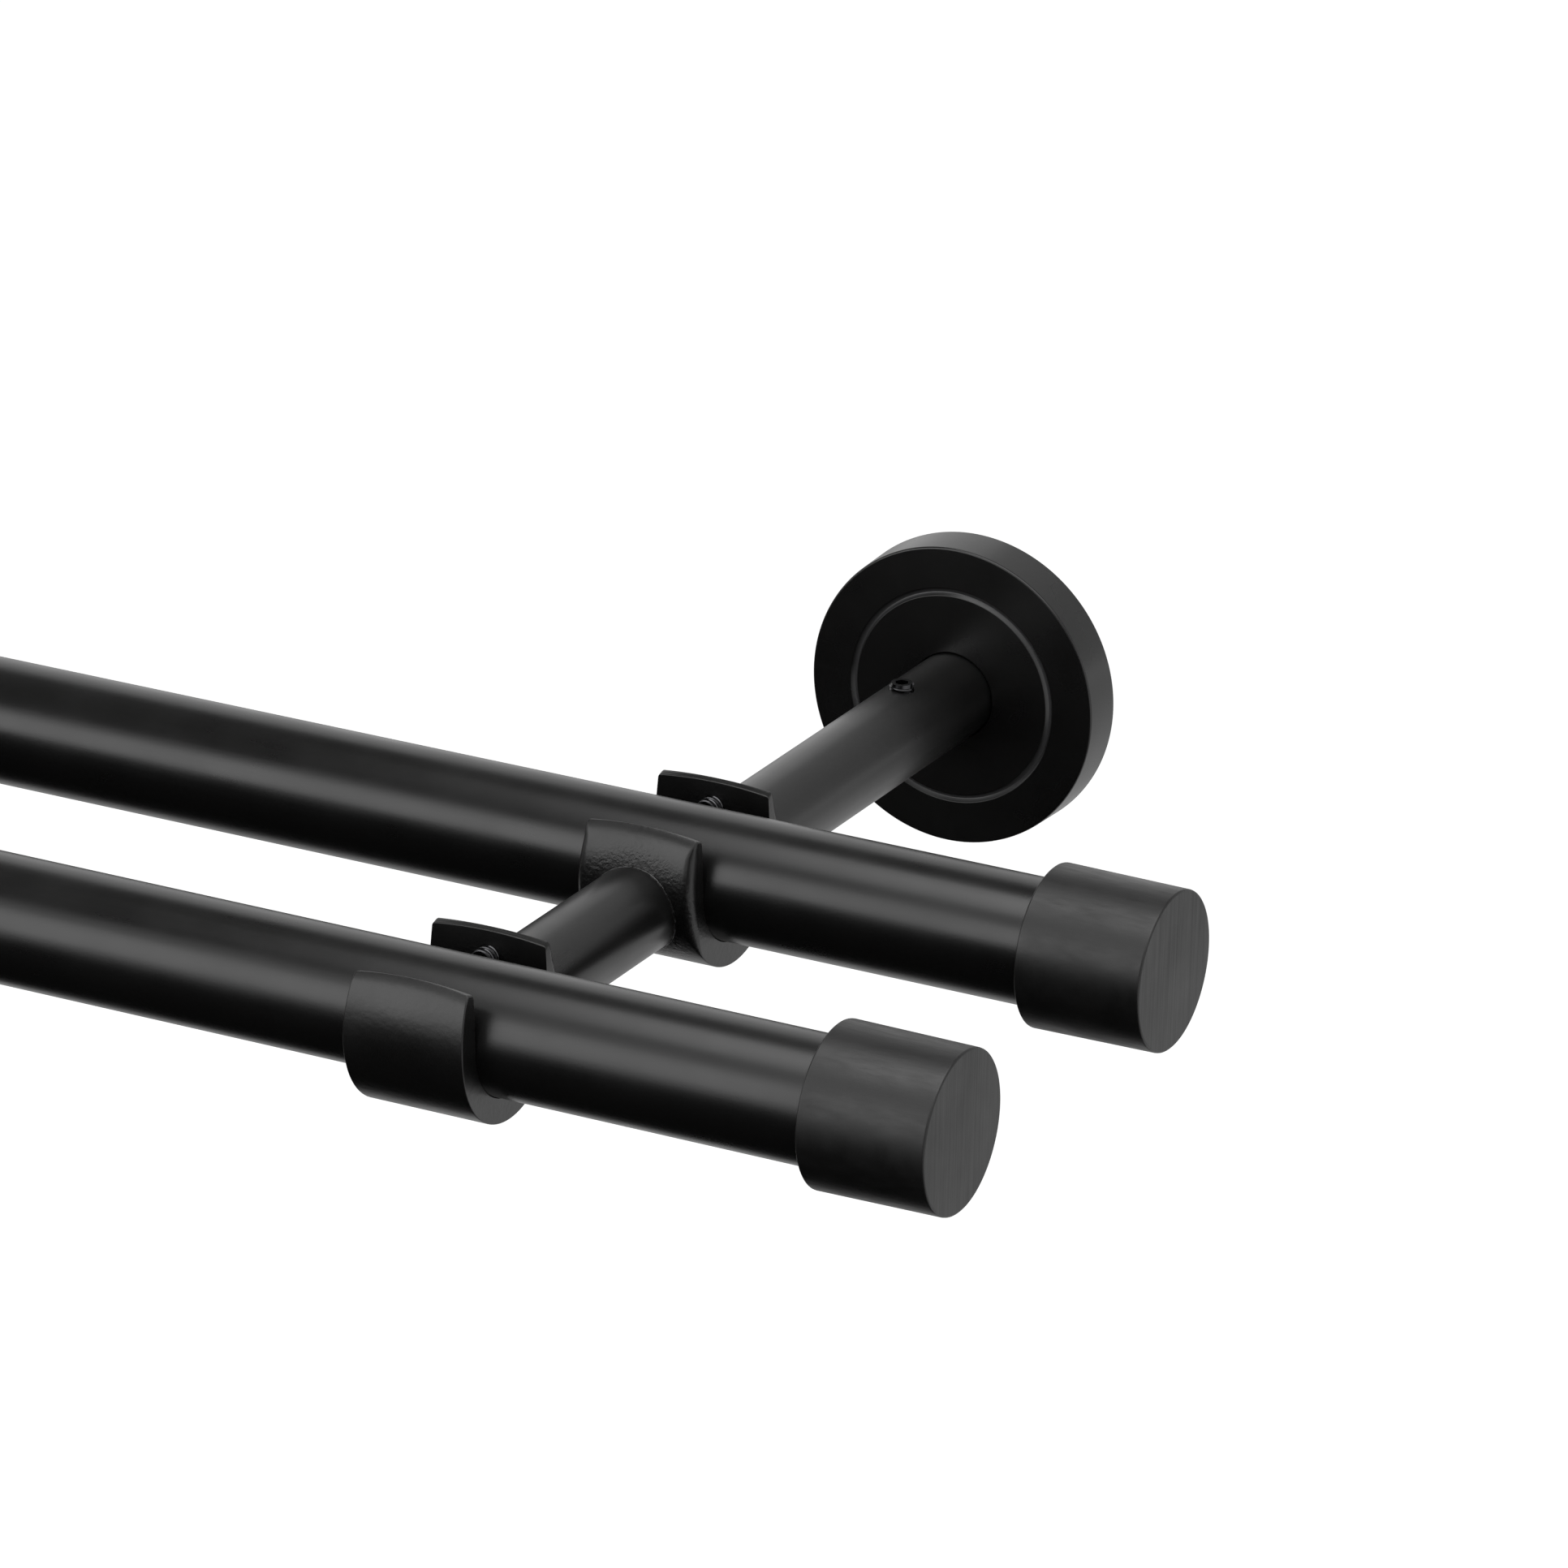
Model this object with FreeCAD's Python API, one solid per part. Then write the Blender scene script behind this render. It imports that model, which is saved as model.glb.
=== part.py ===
import FreeCAD
import Part

import math
import os

# Double curtain pole: two tubes one behind the other, carried by two wall brackets.
# The origin is on the wall, midway between the brackets at the height of their arms.
# +X runs along the poles, +Y points into the wall and +Z is up. All sizes are in mm.

# Poles
pole_diameter = 20.0
pole_wall = 1.2
pole_length = 1000.0
wall_to_rear_pole = 104.0
pole_pitch = 72.1
pole_rise = 2.9

# Arms of a bracket and where the brackets stand
bracket_inset = 82.3
arm_diameter = 14.4
arm_wall = 1.5
seam_gap = 0.1

# Cradles that the poles lie in
cradle_width = 20.4
cradle_floor = 4.0
seat_clearance = 1.1
pole_contact_gap = 0.05
pole_contact_angle = 54.0
lip_height = 9.6
lip_thickness = 1.2
lip_arch_radius = 77.0
lip_corner_radius = 0.8
cradle_edge_chamfer = 0.3
front_cradle_corner_radius = 0.6
rear_cradle_corner_radius = 1.5
spigot_length = 14.0
spigot_clearance = 0.1

# Wall plates with the stub that the arm slides onto
plate_thickness = 3.0
plate_hole_diameter = 5.0
plate_hole_offset = 15.0
stub_length = 33.0
stub_clearance = 0.1
stub_chamfer = 1.0
lock_groove_width = 5.5
lock_groove_depth = 1.4

# Covers over the wall plates
cover_diameter = 51.2
cover_draft = 0.4
cover_depth = 8.1
cover_wall = 1.8
cover_side_wall = 1.9
cover_clearance = 0.2
cover_chamfer = 0.35
cover_ring_diameter = 34.2
cover_ring_width = 1.3
cover_ring_depth = 0.8
cover_bore_clearance = 0.15

# Grub screws
screw_diameter = 4.0
arm_screw_length = 4.0
pole_screw_length = 6.0
screw_chamfer = 0.4
hex_size = 2.0
hex_depth = 1.8
thread_clearance = 0.05
tip_clearance = 0.05
pole_screw_rise = 4.9
arm_screw_from_wall = 26.5

# End caps and the plastic inserts that grip the pole
cap_diameter = 25.8
cap_length = 20.8
cap_end_thickness = 1.6
cap_end_chamfer = 0.35
cap_mouth_chamfer = 0.3
insert_wall = 1.4
insert_end_thickness = 1.2
insert_length = 17.0
insert_slot_width = 1.6
insert_slot_length = 10.0
insert_slots = 3
insert_clearance = 0.1
pole_end_clearance = 0.2

# Places that follow from the sizes above
pole_radius = pole_diameter / 2
rear_pole_y = -wall_to_rear_pole
front_pole_y = rear_pole_y - pole_pitch
bracket_x = pole_length / 2 - bracket_inset
arm_radius = arm_diameter / 2
arm_bore_radius = arm_radius - arm_wall
seat_radius = pole_radius + seat_clearance
seat_slack = seat_clearance - pole_contact_gap
pole_push = seat_slack * math.sin(math.radians(pole_contact_angle))
pole_drop = seat_slack * math.cos(math.radians(pole_contact_angle))
rear_cradle_y = rear_pole_y + pole_push
front_cradle_y = front_pole_y + pole_push
cradle_rise = pole_rise + pole_drop
body_radius = seat_radius + cradle_floor
spigot_radius = arm_bore_radius - spigot_clearance
stub_radius = arm_bore_radius - stub_clearance
screw_radius = screw_diameter / 2
screw_hole_radius = screw_radius + thread_clearance
insert_bore_radius = pole_radius + insert_clearance
insert_radius = insert_bore_radius + insert_wall
cap_bore_radius = insert_radius + insert_clearance
cover_radius = cover_diameter / 2
cover_inner_radius = cover_radius - cover_side_wall
plate_radius = cover_inner_radius - cover_clearance

X = FreeCAD.Vector(1, 0, 0)
Y = FreeCAD.Vector(0, 1, 0)
Z = FreeCAD.Vector(0, 0, 1)
ORIGIN = FreeCAD.Vector(0, 0, 0)


def turned(points, axis_point, axis):
    """A solid of revolution from (radius, distance along the axis) points."""
    side = Z if axis != Z else X
    corners = [axis_point + side * r + axis * d for r, d in points]
    face = Part.Face(Part.makePolygon(corners + corners[:1]))
    return face.revolve(axis_point, axis, 360)


def tube(outer, inner, length, start, axis):
    """A straight tube from start along the axis."""
    rim = Part.makeCylinder(outer, length, start, axis)
    return rim.cut(Part.makeCylinder(inner, length, start, axis))


def arc(first, middle, last):
    """An arc edge through three (y, z) points of the cradle's section."""
    points = [FreeCAD.Vector(0, y, z) for y, z in (first, middle, last)]
    return Part.Arc(*points).toShape()


def line(first, last):
    """A straight edge between two (y, z) points of the cradle's section."""
    return Part.LineSegment(*[FreeCAD.Vector(0, y, z) for y, z in (first, last)]).toShape()


def cradle_body(width, grow):
    """The cradle's outer form about the axis of its seat: a round belly and flanks that lean in."""
    belly = body_radius + grow
    lip = seat_radius + lip_thickness + grow
    lean = belly - lip
    flank_radius = (lip_height**2 + lean**2) / (2 * lean)
    top = lip_height + grow
    half = lip_height / 2
    bulge = belly - flank_radius + math.sqrt(flank_radius**2 - half**2)
    lip_end = belly - flank_radius + math.sqrt(flank_radius**2 - top**2)
    edges = [
        arc((-belly, 0), (0, -belly), (belly, 0)),
        arc((belly, 0), (bulge, half), (lip_end, top)),
        line((lip_end, top), (-lip_end, top)),
        arc((-lip_end, top), (-bulge, half), (-belly, 0)),
    ]
    face = Part.Face(Part.Wire(edges))
    face.translate(X * (-width / 2))
    return face.extrude(X * width)


def arched_outline():
    """The cradle seen from the front, as a slab: straight sides and a gently arched top."""
    depth = 4 * body_radius
    half = cradle_width / 2
    corner = lip_height - lip_arch_radius + math.sqrt(lip_arch_radius**2 - half**2)
    low = -2 * body_radius
    points = [(-half, corner), (-half, low), (half, low), (half, corner)]
    sides = [FreeCAD.Vector(x, -depth / 2, z) for x, z in points]
    edges = [Part.makeLine(a, b) for a, b in zip(sides, sides[1:])]
    crown = FreeCAD.Vector(0, -depth / 2, lip_height)
    edges.append(Part.Arc(sides[3], crown, sides[0]).toShape())
    slab = Part.Face(Part.Wire(edges)).extrude(Y * depth)
    corners = [e for e in slab.Edges if is_lip_corner(e, half, corner)]
    return slab.makeFillet(lip_corner_radius, corners)


def is_lip_corner(edge, half, height):
    """Whether an edge of the slab runs front to back at one of its two top corners."""
    middle = edge.CenterOfMass
    level = abs(middle.z - height) < 1e-6
    return level and abs(abs(middle.x) - half) < 1e-6 and abs(middle.y) < 1e-6


def end_edges(solid):
    """The curved outer edges of the two end faces."""
    half = cradle_width / 2
    at_ends = [e for e in solid.Edges if abs(abs(e.CenterOfMass.x) - half) < 1e-6]
    return [e for e in at_ends if not isinstance(e.Curve, Part.Line)]


def plan_outline(corner_radius):
    """The cradle seen from above, as a slab with rounded upright corners."""
    half = cradle_width / 2
    low = FreeCAD.Vector(-half, -body_radius, -2 * body_radius)
    slab = Part.makeBox(cradle_width, 2 * body_radius, 4 * body_radius, low)
    upright = [e for e in slab.Edges if abs(e.tangentAt(e.FirstParameter).z) > 0.5]
    return slab.makeFillet(corner_radius, upright)


def channel():
    """The space that the pole drops into: a round seat with straight walls above it."""
    length = 2 * cradle_width
    start = FreeCAD.Vector(-length / 2, 0, 0)
    seat = Part.makeCylinder(seat_radius, length, start, X)
    corner = FreeCAD.Vector(-length / 2, -seat_radius, 0)
    throat = Part.makeBox(length, 2 * seat_radius, 2 * lip_height, corner)
    return seat.fuse(throat).removeSplitter()


def spigot(side):
    """The round stub of the casting that sits inside an arm tube, front (-1) or rear (+1)."""
    start = FreeCAD.Vector(0, 0, -cradle_rise)
    return Part.makeCylinder(spigot_radius, body_radius + spigot_length, start, Y * side)


def cradle(corner_radius, spigot_sides):
    """A cast cradle about the axis of its seat, with its spigots, its seat and its screw hole."""
    form = cradle_body(cradle_width, 0)
    form = form.makeChamfer(cradle_edge_chamfer, end_edges(form))
    form = form.common(arched_outline()).common(plan_outline(corner_radius))
    for side in spigot_sides:
        form = form.fuse(spigot(side))
    hole_start = FreeCAD.Vector(0, 0, pole_screw_rise)
    hole = Part.makeCylinder(screw_hole_radius, 2 * body_radius, hole_start, Y)
    return form.cut(channel()).cut(hole).removeSplitter()


def grub_screw(length):
    """A headless screw with a flat tip at the origin and a hex socket at the top of +Z."""
    points = [
        (0, 0),
        (screw_radius, 0),
        (screw_radius, length - screw_chamfer),
        (screw_radius - screw_chamfer, length),
        (0, length),
    ]
    corner_radius = hex_size / math.sqrt(3)
    floor = FreeCAD.Vector(0, 0, length - hex_depth)
    turns = [math.radians(60 * n) for n in range(6)]
    corners = [floor + X * corner_radius * math.cos(t) + Y * corner_radius * math.sin(t) for t in turns]
    socket = Part.Face(Part.makePolygon(corners + corners[:1])).extrude(Z * hex_depth)
    return turned(points, ORIGIN, Z).cut(socket)


def pole_screw():
    """The screw through the rear wall of a cradle, its tip stopped by the pole."""
    low_edge = pole_screw_rise + pole_drop - screw_radius
    touch = math.sqrt(pole_radius**2 - low_edge**2) + tip_clearance - pole_push
    screw = grub_screw(pole_screw_length)
    screw.rotate(ORIGIN, X, -90)
    screw.translate(FreeCAD.Vector(0, touch, pole_screw_rise))
    return screw


def arm_screw():
    """The screw on top of the arm, its tip in the groove of the stub."""
    screw = grub_screw(arm_screw_length)
    groove_floor = stub_radius - lock_groove_depth
    screw.translate(FreeCAD.Vector(0, -arm_screw_from_wall, groove_floor + tip_clearance))
    return screw


def wall_plate():
    """A round plate with two screw holes and the turned stub for the arm."""
    plate = Part.makeCylinder(plate_radius, plate_thickness, ORIGIN, -Y)
    groove_near = arm_screw_from_wall - lock_groove_width / 2
    groove_far = arm_screw_from_wall + lock_groove_width / 2
    groove_radius = stub_radius - lock_groove_depth
    points = [
        (0, plate_thickness / 2),
        (stub_radius, plate_thickness / 2),
        (stub_radius, groove_near),
        (groove_radius, groove_near),
        (groove_radius, groove_far),
        (stub_radius, groove_far),
        (stub_radius, plate_thickness + stub_length - stub_chamfer),
        (stub_radius - stub_chamfer, plate_thickness + stub_length),
        (0, plate_thickness + stub_length),
    ]
    plate = plate.fuse(turned(points, ORIGIN, -Y)).removeSplitter()
    for side in (-1, 1):
        centre = Z * (side * plate_hole_offset)
        plate = plate.cut(Part.makeCylinder(plate_hole_diameter / 2, plate_thickness, centre, -Y))
    return plate


def cover():
    """A turned cup over the wall plate, with a narrow ring cut into its face."""
    front = cover_radius - cover_draft
    bore = arm_radius + cover_bore_clearance
    ring_inner = cover_ring_diameter / 2
    ring_outer = ring_inner + cover_ring_width
    ring_floor = cover_depth - cover_ring_depth
    shelf = cover_depth - cover_wall
    points = [
        (bore, cover_depth),
        (bore, shelf),
        (cover_inner_radius, shelf),
        (cover_inner_radius, 0),
        (cover_radius, 0),
        (front, cover_depth - cover_chamfer),
        (front - cover_chamfer, cover_depth),
        (ring_outer, cover_depth),
        (ring_outer, ring_floor),
        (ring_inner, ring_floor),
        (ring_inner, cover_depth),
    ]
    return turned(points, ORIGIN, -Y)


def arm_rear():
    """The tube from the wall plate to the rear cradle, with its screw hole on top."""
    start = FreeCAD.Vector(0, -plate_thickness, 0)
    length = -rear_cradle_y - plate_thickness
    arm = tube(arm_radius, arm_bore_radius, length, start, -Y)
    hole_start = FreeCAD.Vector(0, -arm_screw_from_wall, 0)
    arm = arm.cut(Part.makeCylinder(screw_hole_radius, arm_diameter, hole_start, Z))
    return arm.cut(coping(rear_cradle_y))


def arm_front():
    """The tube between the two cradles, cut at both ends to their round bodies."""
    start = FreeCAD.Vector(0, rear_cradle_y, 0)
    arm = tube(arm_radius, arm_bore_radius, pole_pitch, start, -Y)
    return arm.cut(coping(rear_cradle_y)).cut(coping(front_cradle_y))


def coping(cradle_y):
    """The cradle's outer form with the seam's gap round it, where an arm tube ends."""
    form = cradle_body(2 * arm_diameter, seam_gap)
    form.translate(FreeCAD.Vector(0, cradle_y, cradle_rise))
    return form


def pole(pole_y):
    """A straight open tube along X."""
    start = FreeCAD.Vector(-pole_length / 2, pole_y, pole_rise)
    return tube(pole_radius, pole_radius - pole_wall, pole_length, start, X)


def end_cap():
    """A round cup, mouth at the origin and closed end towards +X."""
    outer = cap_diameter / 2
    points = [
        (cap_bore_radius, 0),
        (outer - cap_mouth_chamfer, 0),
        (outer, cap_mouth_chamfer),
        (outer, cap_length - cap_end_chamfer),
        (outer - cap_end_chamfer, cap_length),
        (0, cap_length),
        (0, cap_length - cap_end_thickness),
        (cap_bore_radius, cap_length - cap_end_thickness),
    ]
    return turned(points, ORIGIN, X)


def cap_insert():
    """A plastic cup pressed inside the cap, with lengthwise slots in its sleeve."""
    closed = insert_length - insert_end_thickness
    points = [
        (insert_bore_radius, 0),
        (insert_radius, 0),
        (insert_radius, insert_length),
        (0, insert_length),
        (0, closed),
        (insert_bore_radius, closed),
    ]
    insert = turned(points, ORIGIN, X)
    for n in range(insert_slots):
        corner = FreeCAD.Vector(0, -insert_slot_width / 2, 0)
        slot = Part.makeBox(insert_slot_length, insert_slot_width, 2 * insert_radius, corner)
        slot.rotate(ORIGIN, X, 360 * n / insert_slots)
        insert = insert.cut(slot)
    return insert


def placed(shape, x, y, z):
    """A copy of a shape moved from its own origin to a place on the object."""
    copy = shape.copy()
    copy.translate(FreeCAD.Vector(x, y, z))
    return copy


def capped_end(shape, reach, side, pole_y):
    """A cap or insert with its closed end at reach, on the left (-1) or right (+1) end."""
    copy = shape.copy()
    if side < 0:
        copy.rotate(ORIGIN, Z, 180)
    copy.translate(FreeCAD.Vector(side * reach, pole_y, pole_rise))
    return copy


def bracket_nodes(side_name, x):
    """The nine pieces of one bracket, by node name."""
    rear_cradle = cradle(rear_cradle_corner_radius, (-1, 1))
    front_cradle = cradle(front_cradle_corner_radius, (1,))
    return {
        side_name + "_wall_plate": placed(wall_plate(), x, 0, 0),
        side_name + "_wall_cover": placed(cover(), x, 0, 0),
        side_name + "_rear_arm": placed(arm_rear(), x, 0, 0),
        side_name + "_front_arm": placed(arm_front(), x, 0, 0),
        side_name + "_rear_cradle": placed(rear_cradle, x, rear_cradle_y, cradle_rise),
        side_name + "_front_cradle": placed(front_cradle, x, front_cradle_y, cradle_rise),
        side_name + "_arm_screw": placed(arm_screw(), x, 0, 0),
        side_name + "_rear_pole_screw": placed(pole_screw(), x, rear_cradle_y, cradle_rise),
        side_name + "_front_pole_screw": placed(pole_screw(), x, front_cradle_y, cradle_rise),
    }


def pole_nodes(pole_name, pole_y):
    """A pole with the cap and insert of each end, by node name."""
    insert_mouth = pole_length / 2 + pole_end_clearance + insert_end_thickness - insert_length
    cap_inner_end = insert_mouth + insert_length + insert_clearance
    cap_mouth = cap_inner_end + cap_end_thickness - cap_length
    nodes = {pole_name + "_pole": pole(pole_y)}
    for side_name, side in (("left", -1), ("right", 1)):
        prefix = side_name + "_" + pole_name
        nodes[prefix + "_end_cap"] = capped_end(end_cap(), cap_mouth, side, pole_y)
        nodes[prefix + "_cap_insert"] = capped_end(cap_insert(), insert_mouth, side, pole_y)
    return nodes


nodes = {}
nodes.update(pole_nodes("rear", rear_pole_y))
nodes.update(pole_nodes("front", front_pole_y))
nodes.update(bracket_nodes("left", -bracket_x))
nodes.update(bracket_nodes("right", bracket_x))

os.makedirs("parts", exist_ok=True)
for name, shape in nodes.items():
    solid = shape.Solids[0] if len(shape.Solids) == 1 else shape
    solid.exportStep("parts/" + name + ".step")
    print(name, "solids", len(shape.Solids), "valid", shape.isValid(), "volume", round(shape.Volume, 1))
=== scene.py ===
# %% [markdown]
# # A double curtain pole in satin black metal
# Two steel tubes hang one in front of the other on two wall brackets. The solid model already holds every
# size, so this script starts from it, measures it and dresses it. Each step says what the real piece is and
# why it is made the way it is.

# %% Load the solid model
import math

import bmesh
import bpy
from mathutils import Matrix, Vector

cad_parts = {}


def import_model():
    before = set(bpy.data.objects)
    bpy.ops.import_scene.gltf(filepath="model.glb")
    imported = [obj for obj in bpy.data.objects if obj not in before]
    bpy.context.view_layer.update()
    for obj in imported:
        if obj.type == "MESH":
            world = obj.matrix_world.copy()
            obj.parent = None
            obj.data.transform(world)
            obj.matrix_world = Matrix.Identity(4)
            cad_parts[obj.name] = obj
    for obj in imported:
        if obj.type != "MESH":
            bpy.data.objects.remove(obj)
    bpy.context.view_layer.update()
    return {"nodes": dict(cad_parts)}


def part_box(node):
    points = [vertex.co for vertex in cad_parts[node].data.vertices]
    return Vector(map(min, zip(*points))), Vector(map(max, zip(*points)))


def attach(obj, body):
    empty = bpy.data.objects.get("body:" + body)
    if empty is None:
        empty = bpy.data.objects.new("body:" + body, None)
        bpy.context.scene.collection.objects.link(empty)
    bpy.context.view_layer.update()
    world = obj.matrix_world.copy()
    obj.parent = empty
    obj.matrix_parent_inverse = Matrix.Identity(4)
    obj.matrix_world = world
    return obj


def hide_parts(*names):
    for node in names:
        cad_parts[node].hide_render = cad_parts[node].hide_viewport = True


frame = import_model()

MM = 0.001
print("solid nodes:", len(frame["nodes"]))

# %% [markdown]
# ## Sizes
# Places come from the solid model's own boxes: the middle of a wall cover gives a bracket's line, and a
# cradle's lowest point gives the middle of its seat. Sizes that no box shows, such as wall thicknesses, are
# named here once.

# %% Sizes of the pieces
POLE_RADIUS = 10 * MM
POLE_WALL = 1.2 * MM
ARM_RADIUS = 7.2 * MM
ARM_WALL = 1.5 * MM
SEAM_GAP = 0.1 * MM
CRADLE_WIDTH = 20.4 * MM
SEAT_RADIUS = 11.1 * MM
BODY_RADIUS = 15.1 * MM
LIP_HEIGHT = 9.6 * MM
LIP_THICKNESS = 1.2 * MM
LIP_ARCH_RADIUS = 77 * MM
SPIGOT_RADIUS = 5.6 * MM
SCREW_RADIUS = 2 * MM
SCREW_HOLE_RADIUS = 2.05 * MM
POLE_SCREW_RISE = 4.9 * MM

# %% Places read from the solid model
def middle(node):
    """The middle of a solid node's box."""
    low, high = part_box(node)
    return (low + high) / 2


SIDES = {"left": middle("left_wall_cover").x, "right": middle("right_wall_cover").x}
POLES = {name: middle(name + "_pole") for name in ("rear", "front")}
SEAT_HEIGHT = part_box("right_front_cradle")[0].z + BODY_RADIUS
SEAT_DEPTH = {
    "rear": middle("right_rear_cradle").y,
    "front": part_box("right_front_cradle")[0].y + BODY_RADIUS,
}
print("bracket lines:", {k: round(v, 4) for k, v in SIDES.items()}, "seat height:", round(SEAT_HEIGHT, 5))

# %% [markdown]
# ## Helpers for turned and swept pieces
# Poles, caps and covers are turned or drawn round, so one helper turns a profile about an axis. A real edge
# is never quite sharp: the helper rounds each corner of the profile, because a rounded edge is what catches
# a thin line of light. Weighted normals then keep the flat faces flat beside the rounding.

# %% Round the corners of a profile
def rounded(corners, steps=3):
    """Points of a closed profile from (radius, distance, rounding) corners."""
    points = []
    count = len(corners)
    for n, (r, d, rounding) in enumerate(corners):
        here = Vector((r, d))
        if rounding == 0:
            points.append(here)
            continue
        before = (Vector(corners[n - 1][:2]) - here).normalized()
        after = (Vector(corners[(n + 1) % count][:2]) - here).normalized()
        for step in range(steps + 1):
            t = step / steps
            first = here + before * rounding * (1 - t)
            second = here + after * rounding * t
            points.append(first.lerp(second, t))
    return points


# %% Make an object and keep its normals clean
def new_piece(name, shape):
    """A mesh object from a bmesh, with closed seams, outward faces and smooth shading."""
    bmesh.ops.remove_doubles(shape, verts=shape.verts, dist=1e-7)
    bmesh.ops.recalc_face_normals(shape, faces=shape.faces)
    mesh = bpy.data.meshes.new(name)
    shape.to_mesh(mesh)
    shape.free()
    mesh.shade_smooth()
    piece = bpy.data.objects.new(name, mesh)
    bpy.context.scene.collection.objects.link(piece)
    return piece


def settle(piece):
    """Applies a piece's modifiers, so that it is a plain mesh."""
    depsgraph = bpy.context.evaluated_depsgraph_get()
    mesh = bpy.data.meshes.new_from_object(piece.evaluated_get(depsgraph))
    piece.modifiers.clear()
    piece.data = mesh
    return piece


def weigh_normals(piece):
    """Large faces decide the normals, so flats stay flat beside small roundings."""
    weights = piece.modifiers.new("weights", "WEIGHTED_NORMAL")
    weights.weight = 80
    weights.keep_sharp = True
    return settle(piece)


# %% Turn a profile about an axis
def turned(name, profile, start, direction, segments=128):
    """A solid of revolution about a line through start, from (radius, distance) points."""
    turn = Vector((0, 0, 1)).rotation_difference(Vector(direction)).to_matrix()
    angles = [2 * math.pi * n / segments for n in range(segments)]
    shape = bmesh.new()
    rings = []
    for r, d in profile:
        if r == 0:
            rings.append([shape.verts.new(start + turn @ Vector((0, 0, d)))])
            continue
        places = [Vector((r * math.cos(a), r * math.sin(a), d)) for a in angles]
        rings.append([shape.verts.new(start + turn @ place) for place in places])
    for n, ring in enumerate(rings):
        bridge(shape, ring, rings[(n + 1) % len(rings)])
    return weigh_normals(new_piece(name, shape))


def bridge(shape, ring, other):
    """Faces between two rings, or between a ring and a point on the axis."""
    if len(ring) == 1 and len(other) == 1:
        return
    if len(ring) == 1:
        ring, other = other, ring
    for n, vert in enumerate(ring):
        after = ring[(n + 1) % len(ring)]
        if len(other) == 1:
            shape.faces.new((vert, after, other[0]))
        else:
            shape.faces.new((vert, after, other[(n + 1) % len(ring)], other[n]))


# %% [markdown]
# ## Node trees
# Geometry Nodes and shader groups are both built from the same few calls: a tree with named inputs and
# outputs, a node with its values, and a sum. Rods, tubes and threads all come from one call that sweeps a
# ring along a path.

# %% Small helpers for node trees
def fill(tree, socket, value):
    """Links an input to another socket, or sets it to a value."""
    if isinstance(value, bpy.types.NodeSocket):
        tree.links.new(value, socket)
    else:
        socket.default_value = value


def add_node(tree, kind, **values):
    """Adds a node and fills its inputs by name, with _ for a space."""
    made = tree.nodes.new(kind)
    for name, value in values.items():
        fill(tree, made.inputs[name.replace("_", " ")], value)
    return made


def math_node(tree, operation, first, second=0.0):
    """A sum, product and so on of two numbers or sockets."""
    made = tree.nodes.new("ShaderNodeMath")
    made.operation = operation
    for value, socket in zip((first, second), made.inputs):
        fill(tree, socket, value)
    return made.outputs[0]


def new_tree(name, kind, inputs, outputs):
    """A node tree or shader group with inputs (name, type, default) and outputs (name, type)."""
    tree = bpy.data.node_groups.new(name, kind)
    for label, socket, default in inputs:
        made = tree.interface.new_socket(label, in_out="INPUT", socket_type="NodeSocket" + socket)
        if default is not None:
            made.default_value = default
    for label, socket in outputs:
        tree.interface.new_socket(label, in_out="OUTPUT", socket_type="NodeSocket" + socket)
    return tree, tree.nodes.new("NodeGroupInput").outputs, tree.nodes.new("NodeGroupOutput").inputs


# %% A ring swept along a path
def ring_swept(tree, path, radius, resolution):
    """A closed rod: a ring of this radius swept along a path, its ends filled."""
    ring = add_node(tree, "GeometryNodeCurvePrimitiveCircle", Resolution=resolution, Radius=radius)
    sweep = add_node(tree, "GeometryNodeCurveToMesh", Curve=path, Profile_Curve=ring.outputs["Curve"],
                     Fill_Caps=True)
    return sweep.outputs["Mesh"]


def straight_path(tree, first, last, axis):
    """A straight curve between two distances along X or Z."""
    start, end = (add_node(tree, "ShaderNodeCombineXYZ", **{axis: place}) for place in (first, last))
    path = add_node(tree, "GeometryNodeCurvePrimitiveLine", Start=start.outputs[0], End=end.outputs[0])
    return path.outputs["Curve"]


def cut(tree, body, tool):
    """The body without the tool."""
    boolean = tree.nodes.new("GeometryNodeMeshBoolean")
    boolean.operation = "DIFFERENCE"
    boolean.solver = "EXACT"
    tree.links.new(body, boolean.inputs["Mesh 1"])
    tree.links.new(tool, boolean.inputs["Mesh 2"])
    return boolean.outputs["Mesh"]


def finish_tree(tree, geometry, finish, result):
    """Ends a tree with real geometry and its material."""
    real = add_node(tree, "GeometryNodeRealizeInstances", Geometry=geometry)
    painted = add_node(tree, "GeometryNodeSetMaterial", Geometry=real.outputs[0], Material=finish)
    tree.links.new(painted.outputs[0], result)


# %% The tree for a drawn tube
TUBE_STATIONS = 41
TUBE_SIDES = 128
PAST_THE_END = 1.01


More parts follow.
